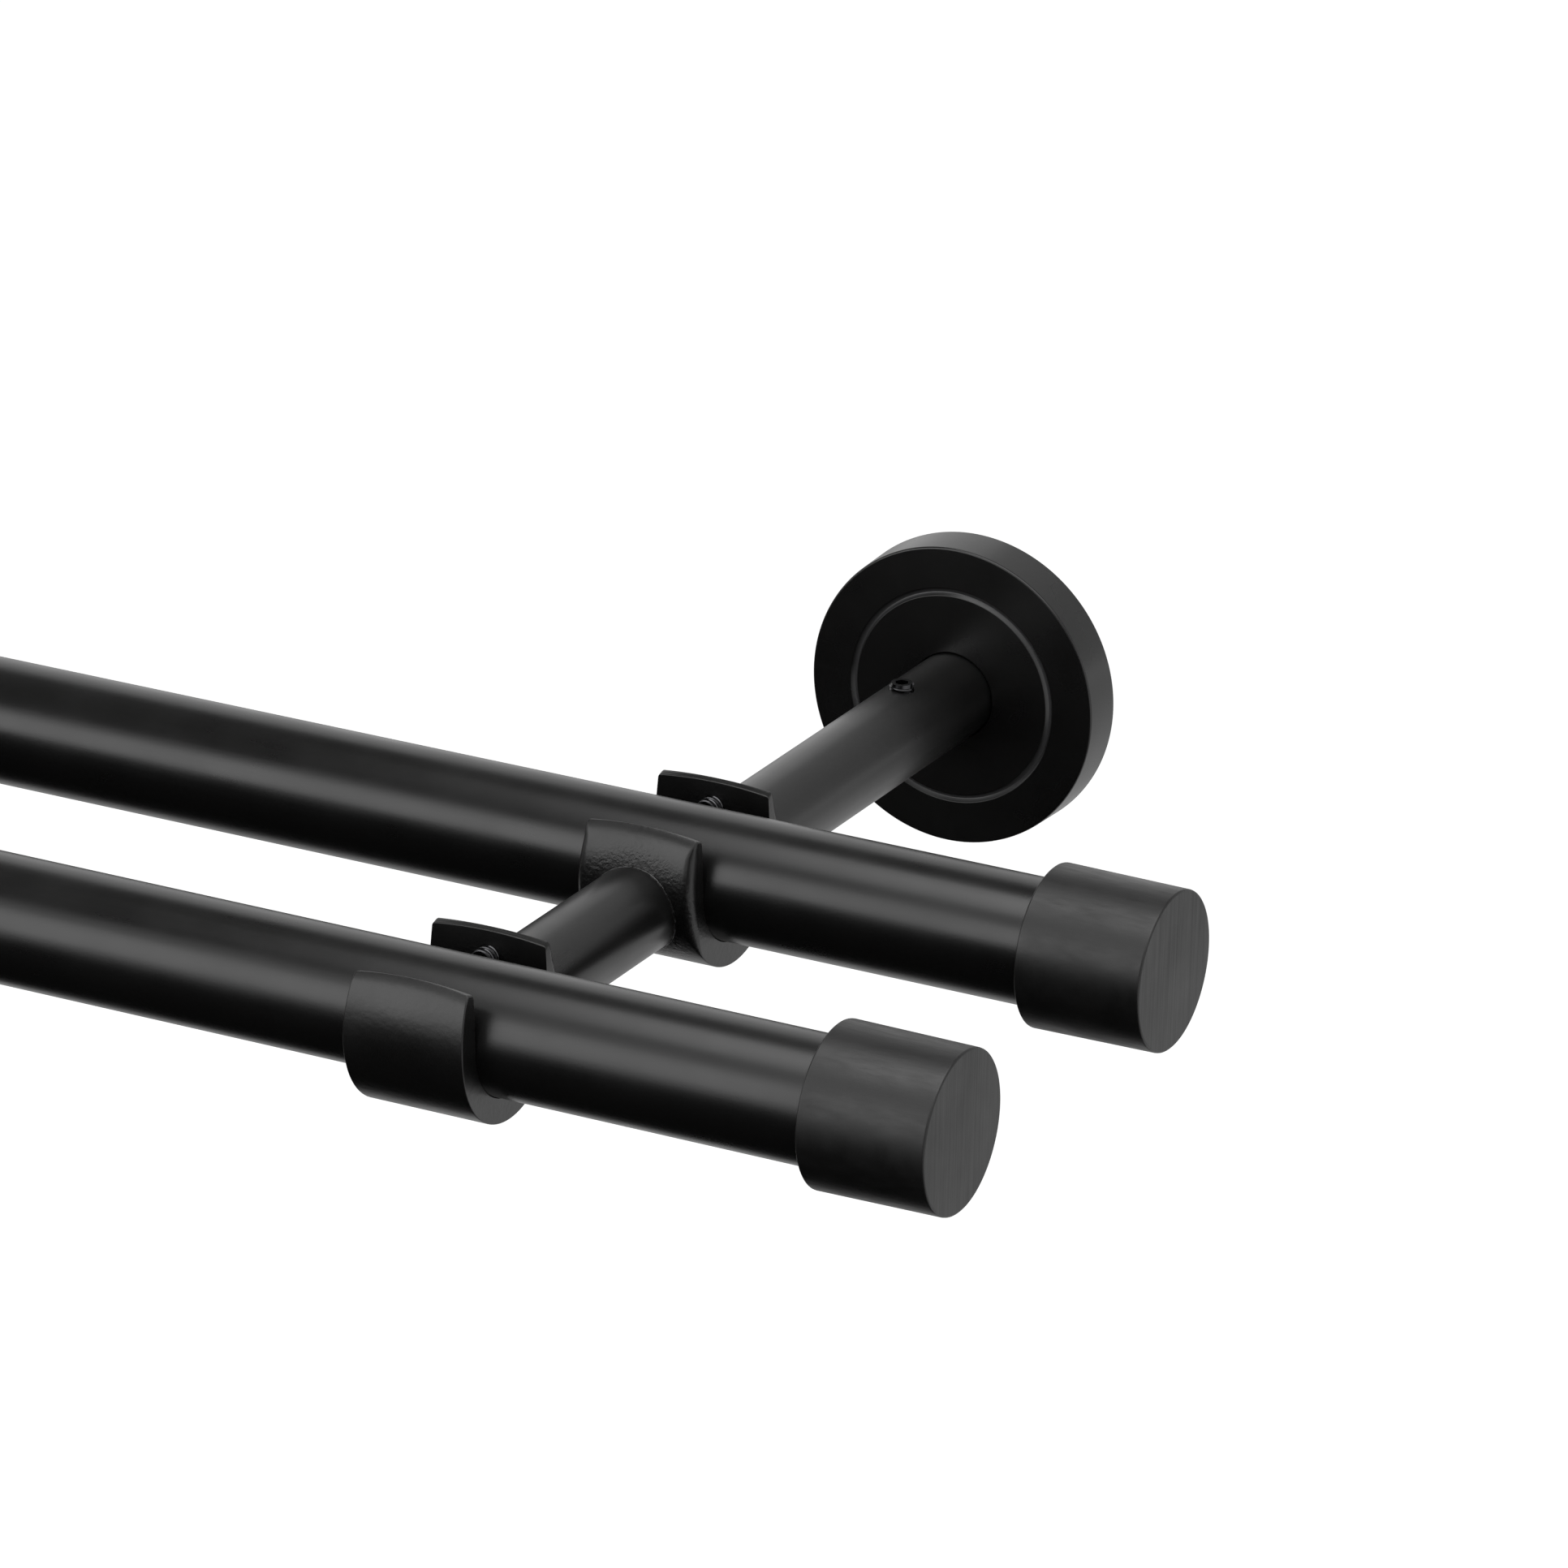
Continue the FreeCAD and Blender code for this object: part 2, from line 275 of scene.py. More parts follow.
def tube_tree():
    """Geometry Nodes for a straight open tube along X about its middle."""
    inputs = [
        ("Length", "Float", 1.0),
        ("Radius", "Float", 0.01),
        ("Wall", "Float", 0.001),
        ("Middle", "Vector", None),
        ("Finish", "Material", None),
    ]
    tree, given, result = new_tree("drawn_tube", "GeometryNodeTree", inputs, [("Geometry", "Geometry")])
    half = math_node(tree, "MULTIPLY", given["Length"], 0.5)
    start = math_node(tree, "MULTIPLY", given["Length"], -0.5)
    line = straight_path(tree, start, half, "X")
    rod_path = add_node(tree, "GeometryNodeResampleCurve", Curve=line, Count=TUBE_STATIONS)
    rod = ring_swept(tree, rod_path.outputs[0], given["Radius"], TUBE_SIDES)
    inner = math_node(tree, "SUBTRACT", given["Radius"], given["Wall"])
    past_start = math_node(tree, "MULTIPLY", start, PAST_THE_END)
    past_end = math_node(tree, "MULTIPLY", half, PAST_THE_END)
    bore = ring_swept(tree, straight_path(tree, past_start, past_end, "X"), inner, TUBE_SIDES)
    tube = cut(tree, rod, bore)
    placed = add_node(tree, "GeometryNodeTransform", Geometry=tube, Translation=given["Middle"])
    finish_tree(tree, placed.outputs[0], given["Finish"], result[0])
    return tree


# %% Run a tree and keep its result as a plain mesh
def grown(name, tree, values, seeds=None, edges=None):
    """A piece whose mesh is what the tree makes of these named inputs and of the seed points and edges."""
    start = bpy.data.meshes.new(name + "_seeds")
    start.from_pydata(seeds or [], edges or [], [])
    piece = bpy.data.objects.new(name, start)
    bpy.context.scene.collection.objects.link(piece)
    modifier = piece.modifiers.new("grow", "NODES")
    modifier.node_group = tree
    for item in tree.interface.items_tree:
        if item.in_out == "INPUT" and item.name in values:
            modifier[item.identifier] = values[item.name]
    settle(piece)
    piece.data.shade_smooth()
    piece.data.set_sharp_from_angle(angle=math.radians(40))
    print(name, len(piece.data.polygons), "faces")
    return piece


# %% [markdown]
# ## The finishes
# Every metal piece is coated in the same satin black, but each was made another way, and that shows in the
# coat. A drawn tube keeps faint lines along its length, a casting keeps a pebbled skin, and a turned face
# keeps rings. The effects that the finishes share are shader groups with named inputs, and each material
# places them with its own values. Two finishes have something more: on a casting the coat gathers and
# wrinkles round the arms, and a cover's ring has a painted highlight, a lighter colour on its walls.

# %% Small helpers for the finishes
def noise(tree, place, scale, detail, roughness=0.5):
    """Noise at a place, as a value from 0 to 1."""
    made = add_node(tree, "ShaderNodeTexNoise", Vector=place, Scale=scale, Detail=detail, Roughness=roughness)
    return made.outputs[0]


def mixed_colour(tree, share, first, second):
    """A mix of two colours."""
    made = add_node(tree, "ShaderNodeMix", Factor=share)
    made.data_type = "RGBA"
    fill(tree, made.inputs[6], first)
    fill(tree, made.inputs[7], second)
    return made.outputs[2]


# %% Shader group: the skin of a coat
def coat_skin_group():
    """Soft pebbles over a fine grain, as one height, and a slow mottle for the gloss."""
    inputs = [
        ("Place", "Vector", None),
        ("Pebbles", "Float", 900.0),
        ("Grain", "Float", 4500.0),
        ("Share", "Float", 0.5),
    ]
    outputs = [("Height", "Float"), ("Mottle", "Float")]
    tree, given, result = new_tree("coat_skin", "ShaderNodeTree", inputs, outputs)
    pebbles = noise(tree, given["Place"], given["Pebbles"], 1.5, 0.45)
    grain = noise(tree, given["Place"], given["Grain"], 2.0, 0.6)
    coarse = math_node(tree, "MULTIPLY", pebbles, given["Share"])
    rest = math_node(tree, "SUBTRACT", 1.0, given["Share"])
    fine = math_node(tree, "MULTIPLY", grain, rest)
    tree.links.new(math_node(tree, "ADD", coarse, fine), result["Height"])
    tree.links.new(noise(tree, given["Place"], 70.0, 3.0, 0.55), result["Mottle"])
    return tree


# %% Shader group: faint lines left by drawing or brushing
def tool_lines_group():
    """Long thin streaks: noise stretched along one direction by a scale for each axis."""
    inputs = [("Place", "Vector", None), ("Spacing", "Vector", None)]
    tree, given, result = new_tree("tool_lines", "ShaderNodeTree", inputs, [("Lines", "Float")])
    stretch = tree.nodes.new("ShaderNodeVectorMath")
    stretch.operation = "MULTIPLY"
    tree.links.new(given["Place"], stretch.inputs[0])
    tree.links.new(given["Spacing"], stretch.inputs[1])
    tree.links.new(noise(tree, stretch.outputs[0], 1.0, 2.0, 0.6), result["Lines"])
    return tree


# %% Shader group: rubbed edges and a little dust
def rubbed_group():
    """Lightens a colour a little where edges are rubbed and where dust settles on upward faces."""
    inputs = [
        ("Base", "Color", (0.012, 0.012, 0.012, 1)),
        ("Rubbed", "Color", (0.03, 0.03, 0.03, 1)),
        ("Dust", "Color", (0.25, 0.25, 0.24, 1)),
        ("Rub", "Float", 0.3),
        ("Dustiness", "Float", 0.01),
        ("Mottle", "Float", 0.5),
    ]
    outputs = [("Color", "Color"), ("Mask", "Float")]
    tree, given, result = new_tree("rubbed", "ShaderNodeTree", inputs, outputs)
    form = tree.nodes.new("ShaderNodeNewGeometry")
    bend = form.outputs["Pointiness"]
    edge = add_node(tree, "ShaderNodeMapRange", Value=bend, From_Min=0.52, From_Max=0.62)
    rub = math_node(tree, "MULTIPLY", edge.outputs[0], given["Rub"])
    rubbed = mixed_colour(tree, rub, given["Base"], given["Rubbed"])
    facing = add_node(tree, "ShaderNodeSeparateXYZ", Vector=form.outputs["Normal"])
    upward = add_node(tree, "ShaderNodeMapRange", Value=facing.outputs["Z"], From_Min=0.2, From_Max=1.0)
    specks = math_node(tree, "MULTIPLY", upward.outputs[0], given["Mottle"])
    dusty = math_node(tree, "MULTIPLY", specks, given["Dustiness"])
    tree.links.new(mixed_colour(tree, dusty, rubbed, given["Dust"]), result["Color"])
    tree.links.new(rub, result["Mask"])
    return tree


# %% Shader group: where the coat gathers round an arm
def gathered_group():
    """A mask: 1 at an arm's joint, fading a few millimetres away. No arm joins in front of Front."""
    inputs = [
        ("Place", "Vector", None),
        ("Bracket", "Float", 0.4),
        ("Front", "Float", -0.1),
        ("Inner", "Float", 0.008),
        ("Outer", "Float", 0.012),
    ]
    tree, given, result = new_tree("gathered_coat", "ShaderNodeTree", inputs, [("Mask", "Float")])
    place = add_node(tree, "ShaderNodeSeparateXYZ", Vector=given["Place"])
    across = math_node(tree, "SUBTRACT", math_node(tree, "ABSOLUTE", place.outputs["X"]), given["Bracket"])
    square = math_node(tree, "ADD", math_node(tree, "MULTIPLY", across, across),
                       math_node(tree, "MULTIPLY", place.outputs["Z"], place.outputs["Z"]))
    fade = add_node(tree, "ShaderNodeMapRange", Value=math_node(tree, "SQRT", square),
                    From_Min=given["Inner"], From_Max=given["Outer"], To_Min=1.0, To_Max=0.0)
    fade.interpolation_type = "SMOOTHSTEP"
    joined = math_node(tree, "GREATER_THAN", place.outputs["Y"], given["Front"])
    tree.links.new(math_node(tree, "MULTIPLY", fade.outputs[0], joined), result["Mask"])
    return tree


SKIN = coat_skin_group()
GATHERED = gathered_group()
LINES = tool_lines_group()
RUBBED = rubbed_group()
print("shader groups:", [group.name for group in (SKIN, GATHERED, LINES, RUBBED)])

# %% Place a shader group in a material
def placed_group(tree, group, **values):
    """A group node with its inputs set or linked by name."""
    made = tree.nodes.new("ShaderNodeGroup")
    made.node_tree = group
    for name, value in values.items():
        fill(tree, made.inputs[name], value)
    return made


def spread(tree, mask, low, high):
    """Turns a mask of about 0.3 to 0.7 into a value between low and high."""
    made = add_node(tree, "ShaderNodeMapRange", Value=mask, From_Min=0.3, From_Max=0.7,
                    To_Min=low, To_Max=high)
    return made.outputs[0]


# %% A coated or bare metal, or a plastic
RUBBING = 0.4
DUSTINESS = 0.02
RUBBED_LIGHTER = 2.2


def finish(name, base, gloss, skin, lines=None, metallic=0.0):
    """A material. A skin is (pebble scale, grain scale, share of pebbles, depth of the bump).

    Lines are (scale along each axis, depth of the bump, change of gloss).
    """
    material = bpy.data.materials.new(name)
    material.use_nodes = True
    tree = material.node_tree
    shader = tree.nodes["Principled BSDF"]
    place = tree.nodes.new("ShaderNodeTexCoord").outputs["Object"]
    pebbles, grain, share, depth = skin
    coat = placed_group(tree, SKIN, Place=place, Pebbles=pebbles, Grain=grain, Share=share)
    lighter = tuple(RUBBED_LIGHTER * channel for channel in base) + (1,)
    worn = placed_group(tree, RUBBED, Base=base + (1,), Rubbed=lighter, Rub=RUBBING, Dustiness=DUSTINESS,
                        Mottle=coat.outputs["Mottle"])
    tree.links.new(worn.outputs["Color"], shader.inputs["Base Color"])
    roughness = spread(tree, coat.outputs["Mottle"], *gloss)
    bump = add_node(tree, "ShaderNodeBump", Height=coat.outputs["Height"], Distance=depth)
    if lines:
        scales, line_depth, change = lines
        streaks = placed_group(tree, LINES, Place=place, Spacing=scales).outputs["Lines"]
        bump = add_node(tree, "ShaderNodeBump", Height=streaks, Distance=line_depth,
                        Normal=bump.outputs["Normal"])
        roughness = math_node(tree, "ADD", roughness, spread(tree, streaks, -change, change))
    tree.links.new(roughness, shader.inputs["Roughness"])
    tree.links.new(bump.outputs["Normal"], shader.inputs["Normal"])
    shader.inputs["Metallic"].default_value = metallic
    shader.inputs["IOR"].default_value = 1.5
    return material


# %% The nine finishes
BLACK = (0.0034, 0.0033, 0.0033)
DARK_GREY = (0.012, 0.012, 0.013)
BARE_STEEL = (0.045, 0.045, 0.047)
POLE_COAT = finish("pole_coat", BLACK, (0.27, 0.33), (1400, 5200, 0.35, 0.000008),
                   ((12, 900, 900), 0.000004, 0.01))
CAP_COAT = finish("cap_coat", BLACK, (0.38, 0.48), (1300, 5200, 0.4, 0.00001),
                  ((260, 1900, 40), 0.00001, 0.05))
ARM_COAT = finish("arm_coat", BLACK, (0.27, 0.34), (1100, 4800, 0.4, 0.00001),
                  ((900, 12, 900), 0.000004, 0.01))
CAST_COAT = finish("cast_coat", BLACK, (0.28, 0.37), (1000, 3600, 0.8, 0.00003))
BEAD_COAT = finish("bead_coat", BLACK, (0.12, 0.3), (2600, 6000, 0.6, 0.00007))
COVER_COAT = finish("cover_coat", BLACK, (0.25, 0.31), (1200, 4200, 0.6, 0.000005))
SCREW_STEEL = finish("screw_steel", BARE_STEEL, (0.16, 0.26), (2500, 9000, 0.4, 0.000004), metallic=1.0)
PLATE_STEEL = finish("plate_steel", DARK_GREY, (0.46, 0.58), (800, 5000, 0.5, 0.00001),
                     ((700, 700, 700), 0.000005, 0.02))
INSERT_PLASTIC = finish("insert_plastic", DARK_GREY, (0.42, 0.55), (1500, 6000, 0.5, 0.000015))
print("materials:", len(bpy.data.materials))

# %% Wrinkle the casting's coat round the arms
WRINKLE_SCALE = 1900
WRINKLE_DEPTH = 0.13 * MM
WRINKLED_RADIUS = 8.5 * MM
SMOOTH_RADIUS = 12.5 * MM


def wrinkle(material, scale, depth):
    """Adds coarse wrinkles to a material's normal, only where the coat gathers."""
    tree = material.node_tree
    shader = tree.nodes["Principled BSDF"]
    place = tree.nodes.new("ShaderNodeTexCoord").outputs["Object"]
    zone = placed_group(tree, GATHERED, Place=place, Bracket=SIDES["right"], Front=SEAT_DEPTH["front"],
                        Inner=WRINKLED_RADIUS, Outer=SMOOTH_RADIUS)
    folds = placed_group(tree, SKIN, Place=place, Pebbles=scale, Grain=2.5 * scale, Share=0.7)
    height = math_node(tree, "MULTIPLY", folds.outputs["Height"], zone.outputs["Mask"])
    smooth = shader.inputs["Normal"].links[0].from_socket
    bump = add_node(tree, "ShaderNodeBump", Height=height, Distance=depth, Normal=smooth)
    tree.links.new(bump.outputs["Normal"], shader.inputs["Normal"])


wrinkle(CAST_COAT, WRINKLE_SCALE, WRINKLE_DEPTH)

# %% Paint a highlight into the cover's ring
# A painted highlight: this lighter colour goes on the walls of each cover's ring.
PAINTED_RING_HIGHLIGHT = (0.035, 0.035, 0.036)


def paint_highlight(material, attribute, colour):
    """Mixes a lighter colour into a material where a mesh attribute marks it: a painted highlight."""
    tree = material.node_tree
    base = tree.nodes["Principled BSDF"].inputs["Base Color"]
    mark = tree.nodes.new("ShaderNodeAttribute")
    mark.attribute_name = attribute
    unmarked_colour = base.links[0].from_socket
    tree.links.new(mixed_colour(tree, mark.outputs["Fac"], unmarked_colour, colour + (1,)), base)


# The ring's walls get a painted highlight, a lighter colour mixed into the coat.
paint_highlight(COVER_COAT, "painted_highlight_mark", PAINTED_RING_HIGHLIGHT)

# %% [markdown]
# ## Dress a piece
# Each finished mesh gets its material, hides the solid nodes that it replaces, and rides on the one
# body of this object.

# %% Dress a piece
def dressed(piece, material, slot, *nodes):
    """Gives a piece its finish and its place in the frame."""
    piece.data.materials.clear()
    piece.data.materials.append(material)
    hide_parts(*nodes)
    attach(piece, "root")
    return piece


# %% [markdown]
# ## The poles
# Each pole is a plain drawn tube. Its shape follows a straight line, so Geometry Nodes make it: a ring
# swept along the line gives a rod, and a thinner rod takes out the bore. One tree serves both poles through
# its named inputs.

# %% Grow the two poles
TUBE = tube_tree()
for name, where in POLES.items():
    low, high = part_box(name + "_pole")
    sizes = {"Length": high.x - low.x, "Radius": POLE_RADIUS, "Wall": POLE_WALL, "Middle": where}
    tube = grown(name + "_pole_tube", TUBE, sizes | {"Finish": POLE_COAT})
    dressed(tube, POLE_COAT, "pole_coat", name + "_pole")

# %% [markdown]
# ## The end caps
# A cap is a turned cup pushed over the pole's end. Its side narrows very slightly towards the closed end,
# and its edges are broken, not sharp. A lathe profile gives all of that in one go.

# %% Turn the four caps
CAP_WALL_BORE = 11.6 * MM
CAP_END = 1.6 * MM
CAP_DRAFT = 0.2 * MM


def cap_profile(length, radius):
    """The cap's (radius, distance) corners from its mouth to its closed end, with roundings."""
    end = radius - CAP_DRAFT
    return rounded([
        (CAP_WALL_BORE, 0, 0.2 * MM),
        (radius, 0, 0.3 * MM),
        (end, length, 0.4 * MM),
        (0, length, 0),
        (0, length - CAP_END, 0),
        (CAP_WALL_BORE, length - CAP_END, 0),
    ])


for side, sign in (("left", -1), ("right", 1)):
    for name, where in POLES.items():
        low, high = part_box(side + "_" + name + "_end_cap")
        mouth = Vector((low.x if sign > 0 else high.x, where.y, where.z))
        profile = cap_profile(high.x - low.x, (high.z - low.z) / 2)
        cap = turned(side + "_" + name + "_cap", profile, mouth, (sign, 0, 0))
        dressed(cap, CAP_COAT, "cap_coat", side + "_" + name + "_end_cap")

# %% [markdown]
# ## The covers at the wall
# A cover is a shallow turned cup that hides the wall plate and its screws. A narrow ring is cut into its
# face. It has slanted walls that catch the light, and a highlight is painted on them as a lighter colour.
# It is all one lathe profile, with small roundings on the corners of the ring.

# %% Turn the two covers
COVER_BORE = 7.35 * MM
COVER_SHELF = 6.3 * MM
COVER_INSIDE = 23.7 * MM
COVER_DRAFT = 0.25 * MM
COVER_SIDES = 192
RING_INNER = 17.1 * MM
RING_WIDTH = 1.3 * MM
RING_DEPTH = 0.6 * MM
RING_LOWEST = 0.45 * RING_WIDTH
RING_RIM = 0.09 * MM


def cover_profile(depth, radius):
    """The cover's (radius, distance) corners, from the bore in its face round to the ring."""
    return rounded([
        (COVER_BORE, depth, 0.25 * MM),
        (COVER_BORE, COVER_SHELF, 0),
        (COVER_INSIDE, COVER_SHELF, 0.5 * MM),
        (COVER_INSIDE, 0, 0.2 * MM),
        (radius, 0, 0.3 * MM),
        (radius - COVER_DRAFT, depth, 0.4 * MM),
        (RING_INNER + RING_WIDTH, depth, 0.08 * MM),
        (RING_INNER + RING_LOWEST, depth - RING_DEPTH, 0.25 * MM),
        (RING_INNER, depth, 0.08 * MM),
    ])


def mark_ring(piece, centre):
    """Marks the walls of the ring, where a highlight is painted, with a value of its own for each point."""
    mark = piece.data.attributes.new("painted_highlight_mark", "FLOAT", "POINT")
    for point, value in zip(piece.data.vertices, mark.data):
        from_inner = math.hypot(point.co.x - centre.x, point.co.z - centre.z) - RING_INNER
        value.value = 1.0 if RING_RIM < from_inner < RING_WIDTH - RING_RIM else 0.0


for side, x in SIDES.items():
    low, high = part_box(side + "_wall_cover")
    profile = cover_profile(high.y - low.y, (high.z - low.z) / 2)
    at_wall = Vector((x, high.y, middle(side + "_wall_cover").z))
    cover = turned(side + "_cover", profile, at_wall, (0, -1, 0), COVER_SIDES)
    mark_ring(cover, at_wall)
    dressed(cover, COVER_COAT, "cover_coat", side + "_wall_cover")

# %% [markdown]
# ## The form of a cradle
# The cradle is a small casting: a round belly, flanks that lean in on a wide arc, and thin lips on top. The
# arm tubes are cut to this same form, so it is written once, as the half depth at each height.

# %% The cradle's outline
LEAN = BODY_RADIUS - SEAT_RADIUS - LIP_THICKNESS
FLANK_RADIUS = (LIP_HEIGHT**2 + LEAN**2) / (2 * LEAN)


def half_depth(height):
    """Half of the cradle's depth at a height above the middle of its seat."""
    if height <= 0:
        return math.sqrt(max(BODY_RADIUS**2 - height**2, 0))
    return BODY_RADIUS - FLANK_RADIUS + math.sqrt(FLANK_RADIUS**2 - height**2)


print("lip's outer half depth:", round(half_depth(LIP_HEIGHT) / MM, 2), "mm")

# %% [markdown]
# ## The arms
# An arm is a plain tube whose end is cut to the cradle's round back, so that only a hair line shows at the
# joint. Each ring of the mesh slides along the tube by as much as the cradle's form asks at that height,
# and the last rings turn in a little, which gives the cut edge its small rounding.

# %% Build an arm from rings
ARM_EDGE = 0.22 * MM


def arm_rings(stations=36):
    """Rings of (radius, share of the way, shift towards the wall) along the outside and back inside."""
    bore = ARM_RADIUS - ARM_WALL
    turns = [math.radians(a) for a in (0, 30, 60, 90)]
    outside = [(ARM_RADIUS, n / stations, 0) for n in range(1, stations)]
    first = [(ARM_RADIUS - ARM_EDGE * (1 - math.sin(t)), 0, ARM_EDGE * (1 - math.cos(t))) for t in turns]
    last = [(r, 1, -inset) for r, way, inset in reversed(first)]
    inside = [(bore, 1, 0), (bore, 0, 0)]
    return first + outside + last + inside


def arm_tube(name, x, ends, segments=128):
    """A tube along Y whose two ends are functions of the height."""
    shape = bmesh.new()
    rings = []
    for radius, way, shift in arm_rings():
        ring = []
        for n in range(segments):
            angle = 2 * math.pi * n / segments
            height = radius * math.sin(angle)
            first, last = (end(height) for end in ends)
            y = first + (last - first) * way - shift
            ring.append(shape.verts.new((x + radius * math.cos(angle), y, height)))
        rings.append(ring)
    for n, ring in enumerate(rings):
        bridge(shape, ring, rings[(n + 1) % len(rings)])
    return new_piece(name, shape)


# %% Cut a round hole
def drilled(piece, radius, start, direction, depth):
    """Cuts a round hole with an exact boolean, then sets its rim sharp."""
    tool = turned("drill", [(0, 0), (radius, 0), (radius, depth), (0, depth)], Vector(start), direction, 64)
    hole = piece.modifiers.new("hole", "BOOLEAN")
    hole.solver = "EXACT"
    hole.object = tool
    settle(piece)
    bpy.data.objects.remove(tool)
    piece.data.shade_smooth()
    piece.data.set_sharp_from_angle(angle=math.radians(35))
    return weigh_normals(piece)


# %% Build the four arms
def behind(cradle):
    """Where an arm ends on the rear side of a cradle, by height."""
    return lambda height: SEAT_DEPTH[cradle] + half_depth(height - SEAT_HEIGHT) + SEAM_GAP


def before(cradle):
    """Where an arm ends on the front side of a cradle, by height."""
    return lambda height: SEAT_DEPTH[cradle] - half_depth(height - SEAT_HEIGHT) - SEAM_GAP


for side, x in SIDES.items():
    wall_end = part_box(side + "_rear_arm")[1].y
    rear_arm = arm_tube(side + "_rear_tube", x, (lambda height: wall_end, behind("rear")))
    screw = middle(side + "_arm_screw")
    rear_arm = drilled(rear_arm, SCREW_HOLE_RADIUS, (x, screw.y, 0), (0, 0, 1), 2 * ARM_RADIUS)
    dressed(rear_arm, ARM_COAT, "arm_coat", side + "_rear_arm")
    front_arm = weigh_normals(arm_tube(side + "_front_tube", x, (before("rear"), behind("front"))))
    dressed(front_arm, ARM_COAT, "arm_coat", side + "_front_arm")

# %% [markdown]
# ## The beads at the joints
# Where an arm meets a casting, the coat has bridged the joint and dried as a fine uneven bead. Each bead
# follows the cut edge of the arm, so Geometry Nodes sweep a small ring along loops of points that trace
# that edge, with a little noise in its thickness.

# %% The tree for a bead along a loop
def bead_tree():
    """A thin bead along each loop of edges, a little uneven."""
    inputs = [
        ("Loops", "Geometry", None),
        ("Radius", "Float", 0.0001),
        ("Unevenness", "Float", 0.3),
        ("Finish", "Material", None),
    ]
    tree, given, result = new_tree("joint_bead", "GeometryNodeTree", inputs, [("Geometry", "Geometry")])
    loops = add_node(tree, "GeometryNodeMeshToCurve", Mesh=given["Loops"])
    bead = ring_swept(tree, loops.outputs[0], given["Radius"], 8)
    uneven = add_node(tree, "ShaderNodeTexNoise", Scale=1400.0, Detail=1.0)
    centred = math_node(tree, "SUBTRACT", uneven.outputs[0], 0.5)
    amount = math_node(tree, "MULTIPLY", given["Radius"], given["Unevenness"])
    swell = math_node(tree, "MULTIPLY", centred, amount)
    outward = tree.nodes.new("ShaderNodeVectorMath")
    outward.operation = "SCALE"
    tree.links.new(tree.nodes.new("GeometryNodeInputNormal").outputs[0], outward.inputs[0])
    tree.links.new(swell, outward.inputs["Scale"])
    moved = add_node(tree, "GeometryNodeSetPosition", Geometry=bead, Offset=outward.outputs[0])
    finish_tree(tree, moved.outputs[0], given["Finish"], result[0])
    return tree


# %% Trace the joints and grow the beads
BEAD_RADIUS = 0.15 * MM
BEAD_INSET = 0.02 * MM
LOOP_POINTS = 240
JOINTS = ((before, "rear"), (behind, "rear"), (behind, "front"))


def joint_loop(x, end):
    """Points round an arm, just inside its skin, along its cut edge."""
    radius = ARM_RADIUS - BEAD_INSET
    angles = [2 * math.pi * n / LOOP_POINTS for n in range(LOOP_POINTS)]
    across_and_up = [(radius * math.cos(a), radius * math.sin(a)) for a in angles]
    return [Vector((x + across, end(height), height)) for across, height in across_and_up]


BEADS = bead_tree()
for side, x in SIDES.items():
    loops = [joint_loop(x, end(cradle)) for end, cradle in JOINTS]
    points = [point for loop in loops for point in loop]
    starts = range(0, len(points), LOOP_POINTS)
    edges = [(start + n, start + (n + 1) % LOOP_POINTS) for start in starts for n in range(LOOP_POINTS)]
    sizes = {"Radius": BEAD_RADIUS, "Unevenness": 1.2, "Finish": BEAD_COAT}
    beads = grown(side + "_joint_beads", BEADS, sizes, points, edges)
    dressed(beads, BEAD_COAT, "cast_coat")

# %% [markdown]
# ## The cradles
# A cradle's cross-section is one loop: down the outside, and back up through the seat. Just below the lips
# the outside rolls in, and the tops of the lips slope inwards. Stations along the pole carry that loop,
# closer together near the two ends, where it shrinks along a small arc. That rounds the ends, arches the
# lips and rounds their corners at once. A side that carries an arm has wide roundings, and one without an
# arm is nearly sharp. The end faces lean in a little at the lips. The loop's outer and inner halves have
# the same number of points, so that the end faces close with plain strips.

# %% How the loop changes along the cradle
LIP_ROUNDING = 0.15 * MM
LIP_SLOPE = 0.3 * MM
LIP_ROLL = 0.3 * MM
ROLL_REACH = 1.6 * MM
END_LEAN = 0.6 * MM
LEAN_START = 1 * MM
LEAN_CURVE = 1.5
NO_ROUNDING_BELOW = 11 * MM
FULL_ROUNDING_WITHIN = 5 * MM
LEAST_ROUNDING = 0.2 * MM


def rounding_off(radius, distance):
    """How far a rounding of this radius pulls in at a distance from the edge."""
    if distance >= radius:
        return 0
    return radius - math.sqrt(radius**2 - (radius - distance) ** 2)


def lip_top(from_end, x, corner):
    """The height of the lips at a station: a wide arch with rounded corners."""
    arch = LIP_HEIGHT - LIP_ARCH_RADIUS + math.sqrt(LIP_ARCH_RADIUS**2 - x**2)
    return arch - rounding_off(corner, from_end)


def end_inset(rounding, from_end, height):
    """How far the outside pulls in near an end: less where the wall is narrow, and hardly at all at the
    bottom.
    """
    allowed = half_depth(height) - SEAT_RADIUS - LIP_THICKNESS if height > 0 else rounding
    share = min(max((height + NO_ROUNDING_BELOW) / FULL_ROUNDING_WITHIN, 0), 1)
    return rounding_off(max(min(rounding, allowed) * share, LEAST_ROUNDING), from_end)


# %% The loop at one station
LIP_STEPS = 4
FLANK_STEPS = 16
BELLY_STEPS = 24
CROWDED_AT_LIP = 1.7


def flank(height, top, rounding, from_end):
    """The outside's depth at a height: it rolls in towards the lip and pulls in near an end."""
    near_lip = max(1 - (top - height) / ROLL_REACH, 0)
    return half_depth(height) - LIP_ROLL * near_lip**2 - end_inset(rounding, from_end, height)


